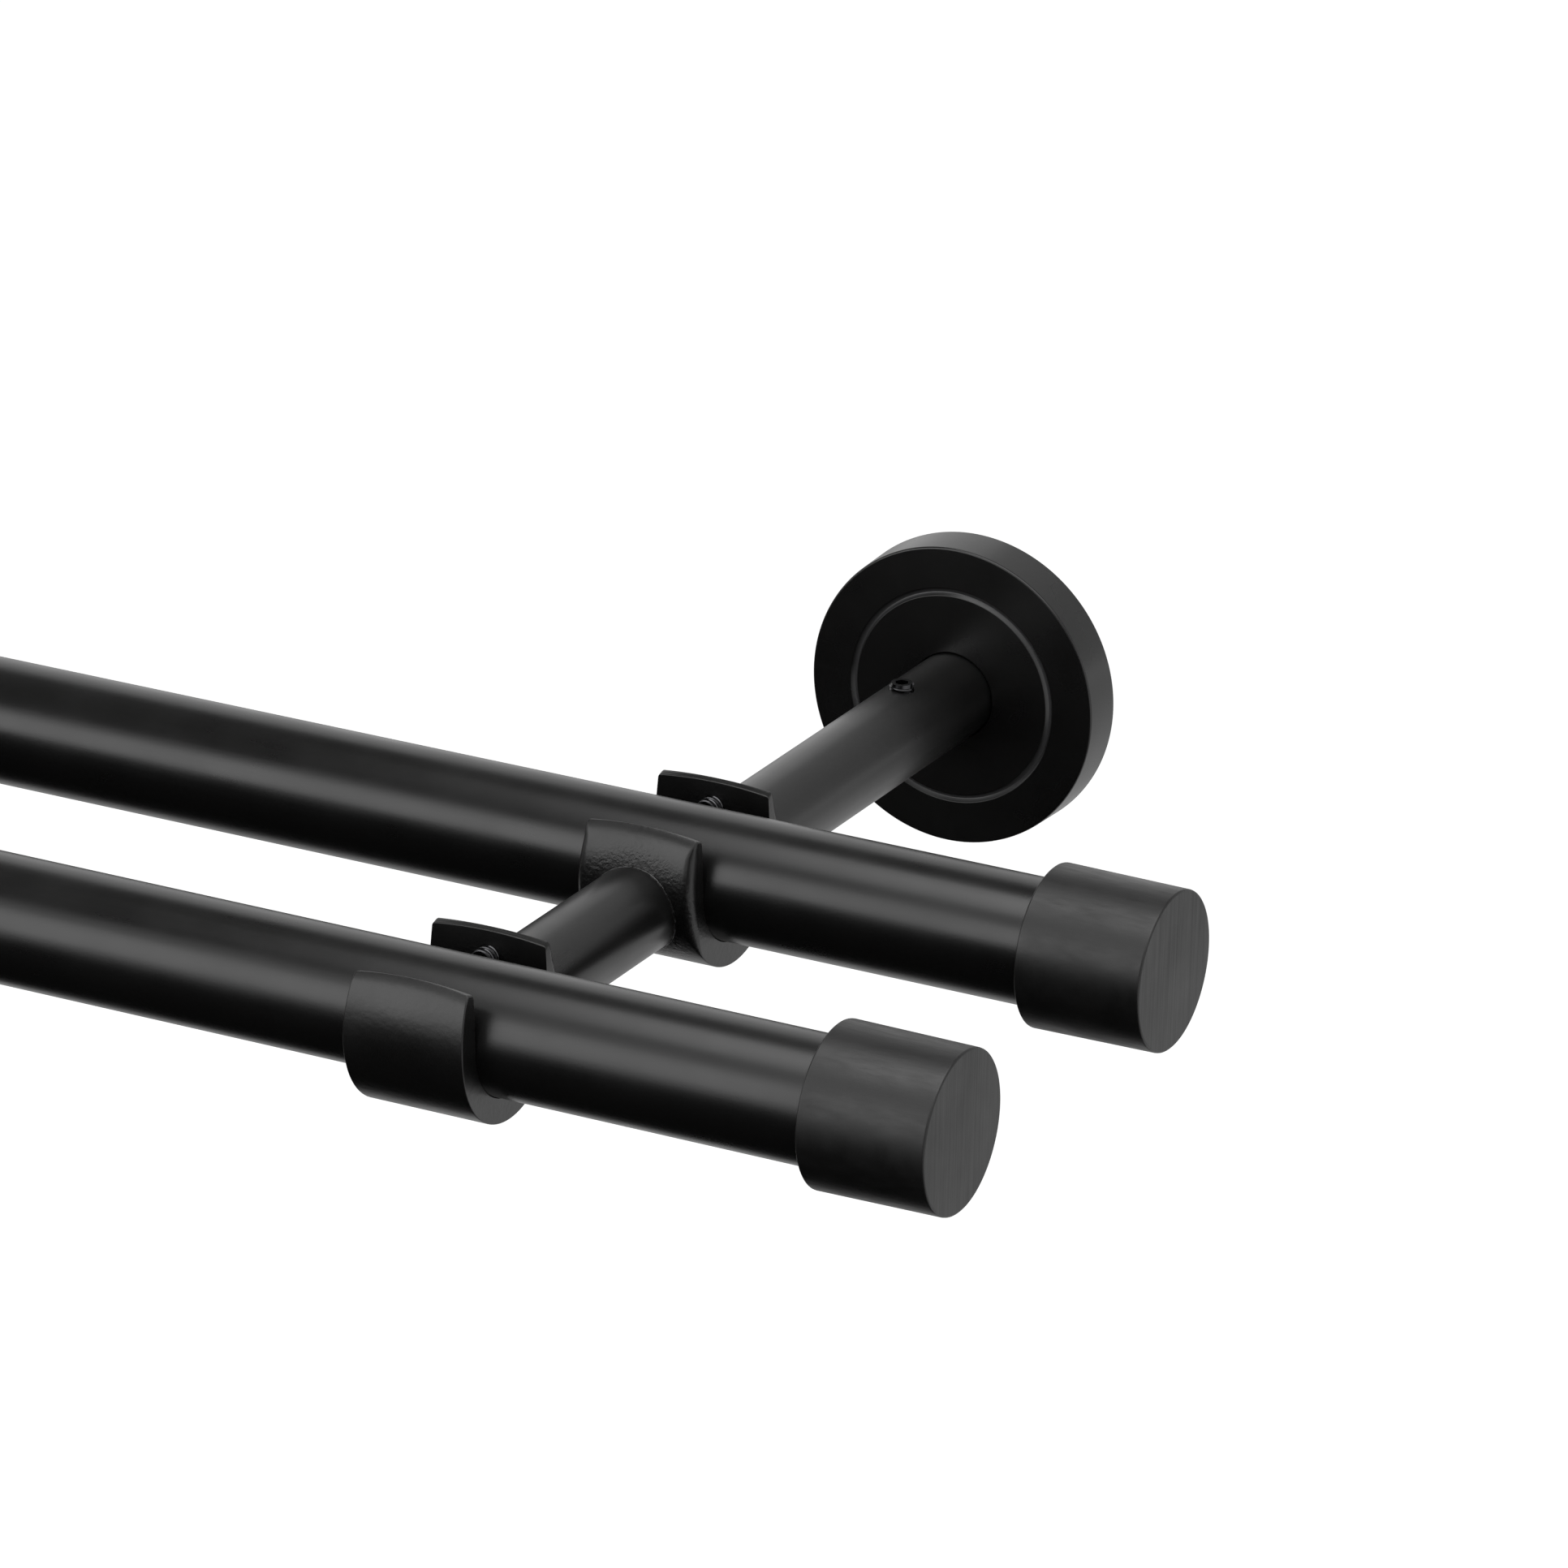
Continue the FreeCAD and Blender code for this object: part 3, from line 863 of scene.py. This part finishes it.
def half_loop(from_end, x, rounding, corner):
    """One side's (depth, height) pairs: outer and inner points from the lip's middle down to the bottom."""
    top = lip_top(from_end, x, corner)
    r = LIP_ROUNDING
    slope = math.tan(math.asin(top / FLANK_RADIUS)) + 2 * LIP_ROLL / ROLL_REACH
    lean = math.atan(slope)
    shoulder = top - r + r * math.sin(lean)
    outer_centre = (flank(shoulder, top, rounding, from_end) - r * math.cos(lean), top - r)
    inner_centre = (SEAT_RADIUS + r, top - LIP_SLOPE - r)
    crest = ((outer_centre[0] + inner_centre[0]) / 2, top - LIP_SLOPE / 2)
    outer, inner = [crest], [crest]
    for step in range(LIP_STEPS + 1):
        t = (math.pi / 2 - lean) * step / LIP_STEPS
        outer.append((outer_centre[0] + r * math.sin(t), outer_centre[1] + r * math.cos(t)))
        t = math.radians(90 * step / LIP_STEPS)
        inner.append((inner_centre[0] - r * math.sin(t), inner_centre[1] + r * math.cos(t)))
    for step in range(1, FLANK_STEPS + 1):
        left_to_go = 1 - (step / FLANK_STEPS) ** CROWDED_AT_LIP
        height = shoulder * left_to_go
        outer.append((flank(height, top, rounding, from_end), height))
        inner.append((SEAT_RADIUS, inner_centre[1] * left_to_go))
    for step in range(1, BELLY_STEPS + 1):
        t = math.radians(90 * step / BELLY_STEPS)
        belly = BODY_RADIUS - end_inset(rounding, from_end, -BODY_RADIUS * math.sin(t))
        outer.append((belly * math.cos(t), -belly * math.sin(t)))
        inner.append((SEAT_RADIUS * math.cos(t), -SEAT_RADIUS * math.sin(t)))
    return outer, inner


def full_loop(from_end, x, roundings, corner):
    """Outer points from the rear lip round to the front lip, and the inner points beside them."""
    rear, front = (half_loop(from_end, x, rounding, corner) for rounding in roundings)
    mirrored = [[(-y, z) for y, z in reversed(half[:-1])] for half in front]
    return rear[0] + mirrored[0], rear[1] + mirrored[1]


# %% Stations along the cradle
def cradle_stations(reach, near=16, further=20):
    """Distances from the middle, dense within reach of both ends."""
    half = CRADLE_WIDTH / 2
    near_end = [half - reach * (n / near) ** 2 for n in range(near + 1)]
    positive = near_end + [(half - reach) * (1 - n / further) for n in range(1, further + 1)]
    return [-x for x in positive[:-1]] + list(reversed(positive))


def leaning(x, height):
    """The end faces lean in a little towards the lips."""
    share = min(max((height + LEAN_START) / (LIP_HEIGHT + LEAN_START), 0), 1)
    return x * (1 - share**LEAN_CURVE * END_LEAN / (CRADLE_WIDTH / 2))


# %% Build a cradle
def cradle_mesh(name, place, roundings, corner):
    """The casting without its spigots and hole. The roundings are those of its rear and front side."""
    shape = bmesh.new()
    rows = []
    for x in cradle_stations(max(roundings)):
        outer, inner = full_loop(CRADLE_WIDTH / 2 - abs(x), x, roundings, corner)
        loops = [[place + Vector((leaning(x, z), y, z)) for y, z in half] for half in (outer, inner)]
        rows.append([[shape.verts.new(p) for p in half] for half in loops])
    for row, following in zip(rows, rows[1:]):
        for half, next_half in zip(row, following):
            for a, b, c, d in zip(half, half[1:], next_half[1:], next_half):
                shape.faces.new((a, b, c, d))
    for outer, inner in (rows[0], rows[-1]):
        for a, b, c, d in zip(outer, outer[1:], inner[1:], inner):
            shape.faces.new((a, b, c, d))
    bmesh.ops.remove_doubles(shape, verts=shape.verts, dist=1e-6)
    bmesh.ops.dissolve_degenerate(shape, edges=shape.edges, dist=1e-7)
    return new_piece(name, shape)


# %% Add a spigot
SPIGOT_LENGTH = 14 * MM


def add_spigot(piece, x, side, cradle):
    """Joins the round stub that sits inside an arm tube, from inside the cradle's wall."""
    root = (SEAT_RADIUS + BODY_RADIUS) / 2
    length = BODY_RADIUS + SPIGOT_LENGTH - root
    start = Vector((x, SEAT_DEPTH[cradle] + side * root, 0))
    profile = rounded([(0, 0, 0), (SPIGOT_RADIUS, 0, 0), (SPIGOT_RADIUS, length, 0.4 * MM), (0, length, 0)])
    stub = turned("stub", profile, start, (0, side, 0), 64)
    shape = bmesh.new()
    shape.from_mesh(piece.data)
    shape.from_mesh(stub.data)
    shape.to_mesh(piece.data)
    shape.free()
    bpy.data.objects.remove(stub)


# %% Build the four castings
LIP_CORNER = 0.4 * MM
WITH_ARM = 1.7 * MM
WITHOUT_ARM = 0.25 * MM
CASTINGS = (("rear", (WITH_ARM, WITH_ARM), (-1, 1)), ("front", (WITH_ARM, WITHOUT_ARM), (1,)))
for side, x in SIDES.items():
    for cradle, roundings, spigots in CASTINGS:
        place = Vector((x, SEAT_DEPTH[cradle], SEAT_HEIGHT))
        hole = place + Vector((0, 0, POLE_SCREW_RISE))
        piece = cradle_mesh(side + "_" + cradle + "_casting", place, roundings, LIP_CORNER)
        piece = drilled(piece, SCREW_HOLE_RADIUS, hole, (0, 1, 0), 2 * BODY_RADIUS)
        for spigot in spigots:
            add_spigot(piece, x, spigot, cradle)
        dressed(piece, CAST_COAT, "cast_coat", side + "_" + cradle + "_cradle")
        print(piece.name, len(piece.data.polygons), "faces")

# %% [markdown]
# ## The grub screws
# Six headless screws hold the bracket together: one on each arm and one behind each pole. They repeat, so
# Geometry Nodes make them: a rod with a hexagonal socket, a ridge swept along a spiral for the thread, and
# a copy of that on each seed point, turned to its hole.

# %% The tree for grub screws
RIDGE_SHARE = 0.36
UNTHREADED_SHARE = 0.4
CORE_SIDES = 48
RIDGE_SIDES = 8
STEPS_A_TURN = 28


def grub_screw_tree():
    """A threaded rod along Z with its socket on top, set on each seed point."""
    inputs = [
        ("Seeds", "Geometry", None),
        ("Length", "Float", 0.006),
        ("Radius", "Float", 0.002),
        ("Pitch", "Float", 0.0007),
        ("Socket Radius", "Float", 0.00115),
        ("Socket Depth", "Float", 0.0018),
        ("Turn", "Vector", None),
        ("Finish", "Material", None),
    ]
    tree, given, result = new_tree("grub_screws", "GeometryNodeTree", inputs, [("Geometry", "Geometry")])
    ridge_radius = math_node(tree, "MULTIPLY", given["Pitch"], RIDGE_SHARE)
    core_radius = math_node(tree, "SUBTRACT", given["Radius"], ridge_radius)
    zero = math_node(tree, "MULTIPLY", given["Length"], 0.0)
    core = ring_swept(tree, straight_path(tree, zero, given["Length"], "Z"), core_radius, CORE_SIDES)
    socket_floor = math_node(tree, "SUBTRACT", given["Length"], given["Socket Depth"])
    past_top = math_node(tree, "MULTIPLY", given["Length"], 1.1)
    socket = ring_swept(tree, straight_path(tree, socket_floor, past_top, "Z"), given["Socket Radius"], 6)
    unthreaded = math_node(tree, "MULTIPLY", given["Pitch"], 2 * UNTHREADED_SHARE)
    run = math_node(tree, "SUBTRACT", given["Length"], unthreaded)
    turns = math_node(tree, "DIVIDE", run, given["Pitch"])
    spiral = add_node(tree, "GeometryNodeCurveSpiral", Resolution=STEPS_A_TURN, Rotations=turns, Height=run,
                      Start_Radius=core_radius, End_Radius=core_radius)
    ridge = ring_swept(tree, spiral.outputs[0], ridge_radius, RIDGE_SIDES)
    start = math_node(tree, "MULTIPLY", given["Pitch"], UNTHREADED_SHARE)
    lift = add_node(tree, "ShaderNodeCombineXYZ", Z=start)
    lifted = add_node(tree, "GeometryNodeTransform", Geometry=ridge, Translation=lift.outputs[0])
    joined = tree.nodes.new("GeometryNodeJoinGeometry")
    tree.links.new(cut(tree, core, socket), joined.inputs[0])
    tree.links.new(lifted.outputs[0], joined.inputs[0])
    copies = add_node(tree, "GeometryNodeInstanceOnPoints", Points=given["Seeds"],
                      Instance=joined.outputs[0], Rotation=given["Turn"])
    finish_tree(tree, copies.outputs[0], given["Finish"], result[0])
    return tree


# %% Grow the screws in two runs
SCREWS = grub_screw_tree()
arm_nodes = [side + "_arm_screw" for side in SIDES]
pole_nodes = [side + "_" + name + "_pole_screw" for side in SIDES for name in POLES]
arm_tips = [Vector((middle(n).x, middle(n).y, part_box(n)[0].z)) for n in arm_nodes]
pole_tips = [Vector((middle(n).x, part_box(n)[0].y, middle(n).z)) for n in pole_nodes]
arm_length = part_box(arm_nodes[0])[1].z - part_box(arm_nodes[0])[0].z
pole_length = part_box(pole_nodes[0])[1].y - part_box(pole_nodes[0])[0].y
runs = (
    ("arm_screws", arm_nodes, arm_tips, arm_length, (0, 0, 0)),
    ("pole_screws", pole_nodes, pole_tips, pole_length, (-math.pi / 2, 0, 0)),
)
for name, nodes, tips, length, turn in runs:
    sizes = {"Length": length, "Radius": SCREW_RADIUS, "Turn": turn, "Finish": SCREW_STEEL}
    dressed(grown(name, SCREWS, sizes, tips), SCREW_STEEL, "screw_steel", *nodes)

# %% [markdown]
# ## Pieces that stay as they are
# The wall plates and the plastic inserts sit behind the covers and inside the caps. Their solids already
# have the right shape, so they only get a better finish.

# %% Finish the hidden pieces
HIDDEN_FINISHES = {"wall_plate": PLATE_STEEL, "cap_insert": INSERT_PLASTIC}
for node_name, piece in frame["nodes"].items():
    for ending, material in HIDDEN_FINISHES.items():
        if node_name.endswith(ending):
            for place in piece.material_slots:
                place.material = material

# %% [markdown]
# ## The studio
# Satin black shows hardly any colour of its own: what one sees is what it reflects. So the studio is a pale
# room with two broad soft lights, one in front and one above, and with dark and grey cards where the
# photographed room was dark or grey. The cards show only in reflections, and give the metal its dark bands
# between bright edges.

# %% Floor
FLOOR_HEIGHT = -0.9
FLOOR_GLOW = 0.62


def seen_directly(tree):
    """1 for the camera and for reflected or transmitted rays, 0 for soft light."""
    ray = tree.nodes.new("ShaderNodeLightPath")
    seen = math_node(tree, "MAXIMUM", ray.outputs["Is Camera Ray"], ray.outputs["Is Glossy Ray"])
    return math_node(tree, "MAXIMUM", seen, ray.outputs["Is Transmission Ray"])


def floor_material():
    """A pale matte floor that reads white to the camera's far view and in reflections, and keeps shadows."""
    material = bpy.data.materials.new("pale_floor")
    material.use_nodes = True
    tree = material.node_tree
    shader = tree.nodes["Principled BSDF"]
    speckle = noise(tree, tree.nodes.new("ShaderNodeTexCoord").outputs["Object"], 6.0, 3.0)
    tint = add_node(tree, "ShaderNodeMapRange", Value=speckle, To_Min=0.78, To_Max=0.82)
    tree.links.new(tint.outputs[0], shader.inputs["Base Color"])
    shader.inputs["Roughness"].default_value = 0.9
    shader.inputs["Specular IOR Level"].default_value = 0.1
    glow = math_node(tree, "MULTIPLY", seen_directly(tree), FLOOR_GLOW)
    shader.inputs["Emission Color"].default_value = (1, 1, 1, 1)
    tree.links.new(glow, shader.inputs["Emission Strength"])
    return material


def flat_sheet(name, corners):
    """A flat four-cornered sheet."""
    shape = bmesh.new()
    shape.faces.new([shape.verts.new(corner) for corner in corners])
    mesh = bpy.data.meshes.new(name)
    shape.to_mesh(mesh)
    shape.free()
    sheet = bpy.data.objects.new(name, mesh)
    bpy.context.scene.collection.objects.link(sheet)
    return sheet


def level_corners(low, high, height):
    """The corners of a level rectangle, facing up."""
    (left, front), (right, back) = low, high
    return [(left, front, height), (right, front, height), (right, back, height), (left, back, height)]


def upright_corners(start, end, bottom, top):
    """The corners of an upright rectangle over the line from start to end."""
    return [(*start, bottom), (*end, bottom), (*end, top), (*start, top)]


floor = flat_sheet("floor", level_corners((-25, -25), (25, 25), FLOOR_HEIGHT))
floor.data.materials.append(floor_material())

# %% Cards, seen only in reflections
def card(name, corners, shade, glow=0.0):
    """A matte card that only reflections show."""
    sheet = flat_sheet(name, corners)
    material = bpy.data.materials.new(name)
    material.use_nodes = True
    shader = material.node_tree.nodes["Principled BSDF"]
    shader.inputs["Base Color"].default_value = (shade, shade, shade, 1)
    shader.inputs["Specular IOR Level"].default_value = 0.0
    shader.inputs["Emission Color"].default_value = (1, 1, 1, 1)
    shader.inputs["Emission Strength"].default_value = glow
    sheet.data.materials.append(material)
    sheet.visible_camera = False
    sheet.visible_diffuse = False
    sheet.visible_shadow = False
    sheet.visible_transmission = False
    return sheet


DARK = 0.004
LOW = -0.55
card("dark_card_low", level_corners((-5, -6), (1.35, -0.1), LOW), DARK)
card("dark_card_below", level_corners((-5, -0.1), (0.56, 0.1), LOW), DARK)
card("grey_card_low_left", level_corners((-6, 0.1), (0.6, 6), LOW), 0.5, 0.27)
card("grey_card_low_right", level_corners((0.6, 0.1), (6, 6), LOW), 0.6, 0.37)
card("grey_card_behind", upright_corners((-0.4, 3), (5, 3), 0.02, 2.4), 0.5, 0.3)
card("dark_card_above", level_corners((-0.9, -0.4), (0.265, 0.02), 0.35), DARK)
card("dark_card_behind", level_corners((-2.2, 0.1), (2.2, 0.75), 0.92), 0.1)
card("dark_card_right", upright_corners((1.38, -2.92), (2.48, -2.28), -0.2, 1.6), DARK)

# %% World: white to the camera and in reflections, plain level for light
world = bpy.data.worlds.new("studio")
bpy.context.scene.world = world
world.use_nodes = True
sky = world.node_tree
background = sky.nodes["Background"]
background.inputs["Color"].default_value = (1, 1, 1, 1)
level = add_node(sky, "ShaderNodeMapRange", Value=seen_directly(sky), To_Min=0.5, To_Max=1.0)
sky.links.new(level.outputs[0], background.inputs["Strength"])

# %% Soft lights
def softbox(name, place, aim, width, height, brightness):
    """A rectangular soft light of a given brightness, turned towards a point."""
    lamp = bpy.data.lights.new(name, "AREA")
    lamp.shape = "RECTANGLE"
    lamp.size = width
    lamp.size_y = height
    lamp.energy = brightness * math.pi * width * height
    box = bpy.data.objects.new(name, lamp)
    box.location = place
    box.rotation_mode = "QUATERNION"
    box.rotation_quaternion = (Vector(aim) - Vector(place)).to_track_quat("-Z", "Y")
    box.visible_camera = False
    bpy.context.scene.collection.objects.link(box)
    return box


softbox("front_box", (-1.34, -2.45, 0.95), (-0.94, 0.03, 0), 2.1, 1.7, 2.0)
softbox("top_box", (0.43, -0.28, 0.9), (0.43, -0.28, 0), 1.5, 0.62, 2.4)

# %% [markdown]
# ## The camera
# The photograph was taken from far away with a long lens, to the right of the object and a little above it.
# The numbers come from a camera that was fitted to the outlines of the solid model.

# %% Camera
AZIMUTH = math.radians(26.8376)
ELEVATION = math.radians(21.088)
ROLL = math.radians(1.50156)
CAMERA_PLACE = (1.0716556, -1.3601691, 0.5628685)
FOCAL_LENGTH = 225.51
back = Vector((
    math.cos(ELEVATION) * math.sin(AZIMUTH),
    -math.cos(ELEVATION) * math.cos(AZIMUTH),
    math.sin(ELEVATION),
))
level_right = Vector((math.cos(AZIMUTH), math.sin(AZIMUTH), 0))
level_up = back.cross(level_right)
right = level_right * math.cos(ROLL) + level_up * math.sin(ROLL)
up = level_up * math.cos(ROLL) - level_right * math.sin(ROLL)
lens = bpy.data.cameras.new("long_lens")
lens.lens = FOCAL_LENGTH
lens.sensor_width = 36
lens.clip_end = 100
camera = bpy.data.objects.new("camera", lens)
turn = Matrix((right, up, back)).transposed().to_4x4()
camera.matrix_world = Matrix.Translation(CAMERA_PLACE) @ turn
bpy.context.scene.collection.objects.link(camera)
bpy.context.scene.camera = camera
bpy.context.scene.view_settings.view_transform = "Standard"

# %% [markdown]
# ## Finish
# The view layer is brought up to date.

# %% Finish
bpy.context.view_layer.update()
